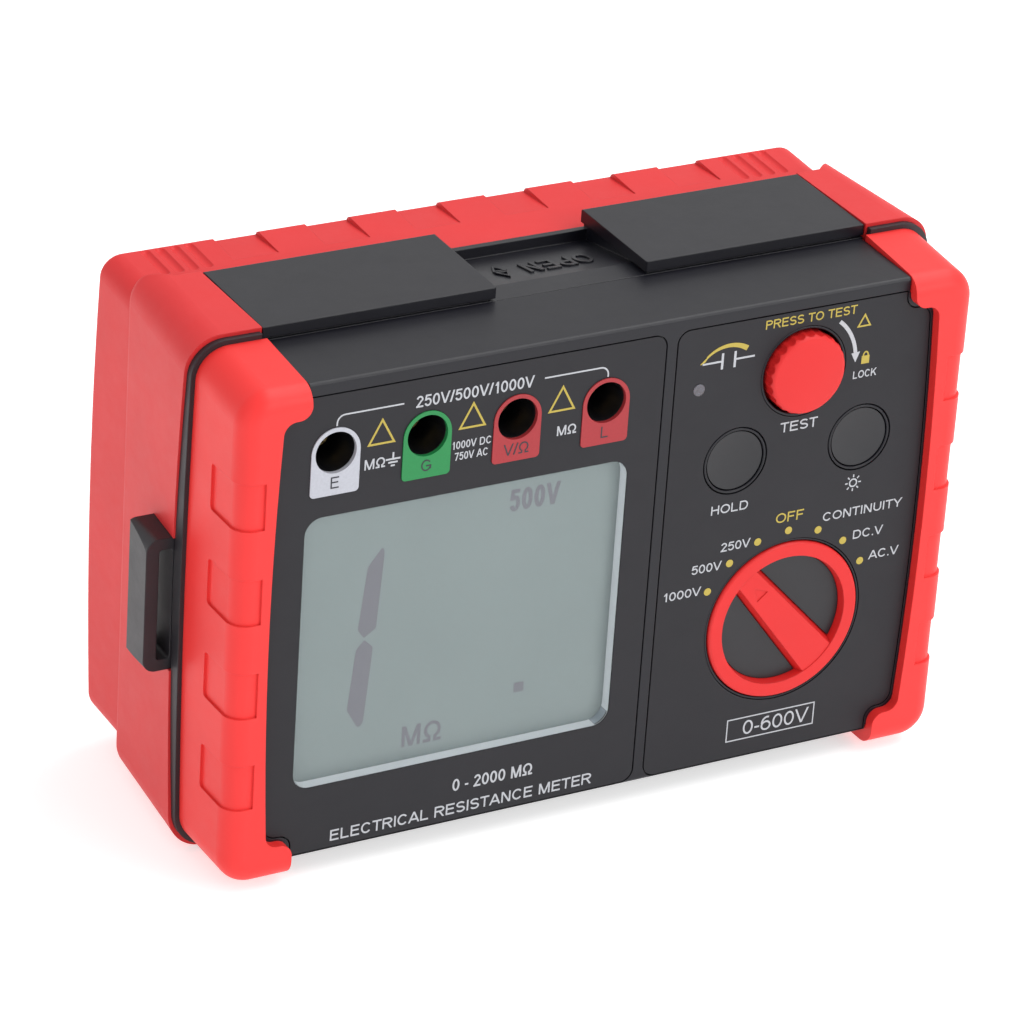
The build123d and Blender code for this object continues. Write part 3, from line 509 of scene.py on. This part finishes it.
def print_display_panel():
    white = Print("print_white_display_panel")
    yellow = Print("print_yellow_display_panel")
    range_bracket(white)
    for first, second in zip(SOCKETS, SOCKETS[1:]):
        x = (SOCKET_X[first] + SOCKET_X[second]) / 2
        yellow.triangle(x - 0.1, SOCKET_Z + 0.1, 6.2, 5.7, TRIANGLE_LINE)
    unit_x = (SOCKET_X["earth"] + SOCKET_X["guard"]) / 2
    white.words("MΩ", unit_x - 1.45, SOCKET_Z - 5.8, 5.1, 2.5)
    earth_sign(white, unit_x + 3.0, SOCKET_Z - 2.6, 3.6)
    white.words("MΩ", (SOCKET_X["volt"] + SOCKET_X["line"]) / 2 + 1.55, SOCKET_Z - 6.2, 4.9, 2.4)
    rating_x = (SOCKET_X["guard"] + SOCKET_X["volt"]) / 2 + 0.1
    white.words("1000V DC", rating_x, SOCKET_Z - 4.8, 9.8, 1.9)
    white.words("750V AC", rating_x, SOCKET_Z - 7.6, 8.4, 1.9)
    white.words("0 - 2000 MΩ", WINDOW_X + 10.9, WINDOW_LOW.z - 9.2, 20.8, 3.1)
    white.words("ELECTRICAL RESISTANCE METER", WINDOW_X + 3.4, WINDOW_LOW.z - 15.15, 67.7, 2.8)
    white.finish(INK["white"], "housing")
    yellow.finish(INK["yellow"], "housing")


def print_socket_letters():
    tag_y = box_mm("socket_tag_line")[0].y
    mark = Print("print_socket_letters", (0, tag_y, SOCKET_Z - 8.65))
    for name, words, wide in (("earth", "E", 2.0), ("guard", "G", 2.5), ("volt", "V/Ω", 6.4),
                              ("line", "L", 1.8)):
        mark.words(words, SOCKET_X[name], 0, wide, 2.8, 0.115)
    mark.finish(INK["dark"], "housing")


# ---- printing on the control label -------------------------------------------------------------
def lock_mark(white, yellow):
    """The curved arrow beside the knob, a small triangle, a padlock and LOCK."""
    radius = 13.8
    tip_x, tip_z = white.arc(KNOB_X, TEST_Z, radius, radius, 51, 8, 0.95)[-1]
    white.quad((tip_x - 1.1, tip_z + 0.1), (tip_x + 1.2, tip_z + 0.3), (tip_x + 0.2, tip_z - 2.2),
               (tip_x + 0.1, tip_z - 2.2))
    yellow.triangle(KNOB_X + 15.3, TEST_Z + 8.6, 3.2, 2.8, 0.4)
    lock_x, lock_z = KNOB_X + 16.55, TEST_Z - 1.1
    yellow.quad((lock_x - 1.05, lock_z), (lock_x + 1.05, lock_z), (lock_x + 1.05, lock_z + 2.0),
                (lock_x - 1.05, lock_z + 2.0))
    yellow.arc(lock_x, lock_z + 2.0, 0.65, 1.0, 0, 180, 0.35, 10)
    white.words("LOCK", KNOB_X + 16.75, TEST_Z - 4.6, 6.3, 1.9)


def capacitor_mark(white, yellow):
    """A capacitor's sign under a sweeping arrow that grows thinner towards its point."""
    lamp_x, lamp_z = centre_xz("status_led")
    wire_z, plate_half, plate_line, wire_line = lamp_z + 6.2, 2.0, 0.6, 0.45
    for x_plate, x_end in ((lamp_x + 5.6, lamp_x + 0.4), (lamp_x + 8.9, lamp_x + 14.1)):
        white.stroke([(x_plate, wire_z - plate_half), (x_plate, wire_z + plate_half)], plate_line)
        white.stroke([(x_plate, wire_z), (x_end, wire_z)], wire_line)
    steps = 20
    sweep_x, sweep_z, sweep_radius = lamp_x + 7.2, lamp_z + 1.3, 8.6
    turn_from, turn_by = 56, 76
    wide_end, narrows_by = 1.3, 0.8
    points, widths = [], []
    for index in range(steps + 1):
        turn = math.radians(turn_from + turn_by * index / steps)
        points.append((sweep_x + sweep_radius * math.cos(turn),
                       sweep_z + sweep_radius * math.sin(turn)))
        widths.append(wide_end - narrows_by * index / steps)
    yellow.stroke(points, widths)
    end_x, end_z = points[-1]
    yellow.quad((end_x + 0.9, end_z + 0.9), (end_x - 0.4, end_z - 1.0), (end_x - 1.6, end_z - 1.5),
                (end_x - 1.6, end_z - 1.3))


def light_mark(mark):
    """A small lamp sign: a ring with rays around it."""
    middle = Vector((LIGHT_X - 0.4, BUTTON_Z - 11.7))
    ring, ray_from, ray_to, rays = 0.95, 1.45, 2.15, 8
    mark.arc(*middle, ring, ring, 0, 360, 0.35)
    for index in range(rays):
        turn = 2 * math.pi * index / rays
        ray = Vector((math.cos(turn), math.sin(turn)))
        mark.stroke([middle + ray * ray_from, middle + ray * ray_to], 0.32)


def print_control_panel():
    white = Print("print_white_control_panel")
    yellow = Print("print_yellow_control_panel")
    yellow.words("PRESS TO TEST", KNOB_X + 0.85, TEST_Z + 12.1, 24.3, 2.2)
    lock_mark(white, yellow)
    capacitor_mark(white, yellow)
    white.words("TEST", KNOB_X + 0.1, TEST_Z - 15.0, 10.0, 2.5)
    white.words("HOLD", HOLD_X - 0.4, BUTTON_Z - 13.0, 9.8, 2.3)
    light_mark(white)
    yellow.words("OFF", SCALE_X, DIAL_Z + 25.8, 7.5, 2.5)
    legend_tall = 2.25
    dot_ring, dot_radius, dot_step = 23.9, 0.95, 20.0
    box_half_wide, box_line = 11.9, 0.3
    legends = (("1000V", -27.45, 11.0, 9.9), ("500V", -21.5, 16.7, 8.0),
               ("250V", -14.15, 21.2, 7.9), ("CONTINUITY", 20.05, 23.9, 21.7),
               ("DC.V", 22.2, 17.6, 8.2), ("AC.V", 27.15, 11.3, 8.3))
    for words, aside, above, wide in legends:
        white.words(words, SCALE_X + aside, DIAL_Z + above, wide, legend_tall)
    for step in range(-3, 4):
        turn = math.radians(90 + dot_step * step)
        yellow.disc(SCALE_X + dot_ring * math.cos(turn), DIAL_Z - 0.5 + dot_ring * math.sin(turn),
                    dot_radius)
    low, high = DIAL_Z - 30.2, DIAL_Z - 24.5
    left, right = SCALE_X - box_half_wide, SCALE_X + box_half_wide
    white.stroke([(left, low), (right, low), (right, high), (left, high)], box_line, closed=True)
    white.words("0-600V", SCALE_X + 1.5, low + 1.0, 18.0, 3.75, 0.12)
    white.finish(INK["white"], "housing")
    yellow.finish(INK["yellow"], "housing")


# ---- the display's reading -------------------------------------------------------------------
def display_segments():
    """The reading: one slanted figure of two bars, its units and a decimal point.

    Places are in millimetres from the window's lower left corner.
    """
    point_x, point_z, point_wide, point_high = 57.25, 11.45, 2.6, 2.5
    start = (WINDOW_LOW.x, GLASS_FRONT_Y, WINDOW_LOW.z)
    mark = Print("display_segments", start, thick=0.03)
    upper = (((17.6, 33.9), (16.1, 36.0), (17.8, 51.5), (21.1, 55.7)),
             ((18.0, 33.9), (20.7, 35.7), (21.9, 54.6), (21.4, 55.7)))
    lower = (((17.2, 11.1), (14.4, 16.0), (15.9, 31.0), (17.8, 33.1)),
             ((17.6, 11.1), (18.7, 11.9), (20.2, 31.0), (18.1, 33.1)))
    for left, right in (upper, lower):
        mark.strip(left, right)
    mark.quad((point_x, point_z), (point_x + point_wide, point_z),
              (point_x + point_wide, point_z + point_high), (point_x, point_z + point_high))
    mark.words("500V", 59.4, 58.4, 13.0, 5.6, 0.18)
    mark.words("MΩ", 33.95, 3.25, 10.2, 5.4, 0.16)
    mark.finish(INK["segment"], "housing")


# ---- raised marks in the lid's scoop ----------------------------------------------------------
SCOOP_MIDDLE = 15.4                             # from the lid's front edge to the word's middle
RAISED_THICK = 0.45


def surface_below(node, x, y):
    """The point and normal that a ray straight down meets first on a CAD node (millimetres)."""
    thing = NODES[node]
    tree = BVHTree.FromObject(thing, bpy.context.evaluated_depsgraph_get())
    point, normal, _, _ = tree.ray_cast(thing.matrix_world.inverted() @ Vector((x * MM, y * MM, 1)),
                                        Vector((0, 0, -1)))
    return (thing.matrix_world @ point) / MM, normal


def raised_lid_marks():
    """OPEN and two arrows, which read from behind the tester."""
    middle_y = LID_LOW.y + SCOOP_MIDDLE
    point, normal = surface_below("battery_lid", 0.0, middle_y)
    right = Vector((-1, 0, 0))
    up = normal.cross(right).normalized()
    mark = Print("raised_lid_marks", point - normal * 0.05, right, up, RAISED_THICK)
    mark.words("OPEN", -4.9, -2.9, 17.6, 6.6, 0.14)
    for side in (1, -1):
        mark.triangle(9.6, side * 0.6, 2.9, side * 3.4, 0.5)
    mark.finish(MATERIALS["black_lid"], "lid")


# ---- room -----------------------------------------------------------------------------------
CAMERA_AT = (-0.5463, -0.9253, 0.6054)
AZIMUTH, ELEVATION, ROLL = -30.4676, 26.9020, 3.9189
LENS = 182.32
SENSOR = 36.0
FLOOR_HALF = 6.0                                # half the floor's side, in metres


def add_camera():
    data = bpy.data.cameras.new("camera")
    data.lens = LENS
    data.sensor_width = SENSOR
    data.clip_end = 20.0
    camera = bpy.data.objects.new("camera", data)
    camera.location = CAMERA_AT
    pitch = math.radians(90 - ELEVATION)
    turn = Euler((pitch, 0, math.radians(AZIMUTH)), "XYZ").to_matrix()
    roll = Matrix.Rotation(math.radians(ROLL), 3, "Z")
    camera.rotation_euler = (turn @ roll).to_euler()
    bpy.context.scene.collection.objects.link(camera)
    bpy.context.scene.camera = camera


def add_area(name, place, aim, size, power):
    data = bpy.data.lights.new(name, "AREA")
    data.shape = "RECTANGLE"
    data.size, data.size_y = size
    data.energy = power
    lamp = bpy.data.objects.new(name, data)
    lamp.location = place
    direction = Vector(aim) - Vector(place)
    lamp.rotation_euler = direction.to_track_quat("-Z", "Y").to_euler()
    bpy.context.scene.collection.objects.link(lamp)


def add_room():
    bm = bmesh.new()
    bmesh.ops.create_grid(bm, x_segments=8, y_segments=8, size=FLOOR_HALF)
    data = bpy.data.meshes.new("floor")
    bm.to_mesh(data)
    bm.free()
    floor = bpy.data.objects.new("floor", data)
    bpy.context.scene.collection.objects.link(floor)
    n = Nodes("floor_pale")
    shader = n.principled(Specular_IOR_Level=0.1)
    tone = n.mixed(n.ranged(n.noise(300.0, 2.0), 0, 1), (0.70, 0.70, 0.70), (0.72, 0.72, 0.72))
    n.link(tone, shader.inputs["Base Color"])
    shader.inputs["Roughness"].default_value = 0.9
    shader.inputs["Emission Color"].default_value = (1.0, 1.0, 1.0, 1)
    shader.inputs["Emission Strength"].default_value = 0.56
    data.materials.append(n.material)

    world = bpy.data.worlds.new("studio")
    world.use_nodes = True
    background = world.node_tree.nodes["Background"]
    background.inputs["Color"].default_value = (1.0, 1.0, 1.0, 1)
    background.inputs["Strength"].default_value = 0.78
    bpy.context.scene.world = world
    add_area("top_light", (0.75, -0.1, 1.5), (0.05, 0, 0.08), (2.0, 0.9), 17)
    add_area("front_light", (0.9, -1.7, 0.9), (0, 0, 0.06), (1.2, 1.0), 12)
    add_area("left_light", (-1.7, -1.2, 0.7), (0, 0, 0.06), (1.0, 1.0), 2)
    settings = bpy.context.scene.view_settings
    settings.view_transform = "Standard"
    settings.look = "None"


dress_cad_nodes()
print_display_panel()
print_socket_letters()
print_control_panel()
display_segments()
raised_lid_marks()
add_camera()
add_room()
